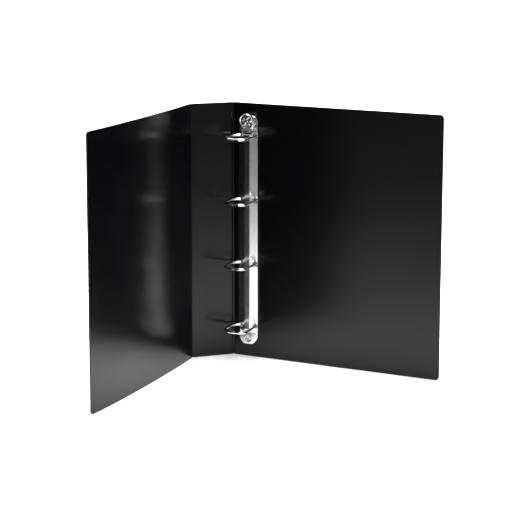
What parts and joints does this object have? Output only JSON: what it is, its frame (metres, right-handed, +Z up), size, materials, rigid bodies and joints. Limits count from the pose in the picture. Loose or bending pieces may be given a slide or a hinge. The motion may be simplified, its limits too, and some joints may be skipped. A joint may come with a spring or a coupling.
{
  "type": "ring binder",
  "caption": "Upright ring binder of satin black plastic with folding covers and a riveted D-ring mechanism that an end trigger opens.",
  "frame": {"origin": "middle of the back cover's bottom edge", "axes": "+Z up along the folds; the back cover lies in the XZ plane with the rear fold at its -X edge; its inside faces -Y"},
  "size_m": [0.3176, 0.3227, 0.32],
  "materials": {
    "cover_sheet": "satin black polypropylene sheet with a fine grain",
    "plate_nickel": "bright nickel plate on pressed steel",
    "ring_chrome": "polished nickel-plated wire",
    "rail_steel": "dull nickel-plated strip",
    "rivet_steel": "nickel-plated rivets, washers and pin"
  },
  "bodies": {
    "back_cover": {"back_cover": "cover_sheet", "cover_plate": "plate_nickel", "trigger_pin": "rivet_steel", "top_rivet": "rivet_steel", "bottom_rivet": "rivet_steel", "top_washer": "rivet_steel", "bottom_washer": "rivet_steel"},
    "spine": {"spine_panel": "cover_sheet", "rear_hinge_web": "cover_sheet", "front_hinge_web": "cover_sheet"},
    "front_cover": {"front_cover": "cover_sheet"},
    "left_carrier": {"left_rail": "rail_steel", "ring_left_1": "ring_chrome", "ring_left_2": "ring_chrome", "ring_left_3": "ring_chrome", "ring_left_4": "ring_chrome"},
    "right_carrier": {"right_rail": "rail_steel", "ring_right_1": "ring_chrome", "ring_right_2": "ring_chrome", "ring_right_3": "ring_chrome", "ring_right_4": "ring_chrome"},
    "trigger": {"trigger_lever": "plate_nickel"}
  },
  "joints": [
    {"name": "spine_fold", "type": "hinge", "parent": "back_cover", "child": "spine", "pos_m": [-0.14, 0, 0], "axis": [0, 0, 1], "range_deg": [-48.5, 41.5]},
    {"name": "front_fold", "type": "hinge", "parent": "spine", "child": "front_cover", "pos_m": [-0.17711, -0.04194, 0], "axis": [0, 0, 1], "range_deg": [-47.5, 42.5]},
    {"name": "ring_open", "type": "hinge", "parent": "back_cover", "child": "left_carrier", "pos_m": [-0.129, -0.0027, 0], "axis": [0, 0, -1], "range_deg": [0, 7]},
    {"name": "ring_open_right", "type": "hinge", "parent": "back_cover", "child": "right_carrier", "pos_m": [-0.106, -0.0027, 0], "axis": [0, 0, 1], "range_deg": [0, 7]},
    {"name": "trigger_press", "type": "hinge", "parent": "back_cover", "child": "trigger", "pos_m": [-0.1175, -0.0038, 0.288], "axis": [-1, 0, 0], "range_deg": [0, 12]}
  ],
  "couplings": [
    {"joint": "ring_open_right", "follows": "ring_open", "ratio": 1},
    {"joint": "trigger_press", "follows": "ring_open", "ratio": 1.7143}
  ]
}
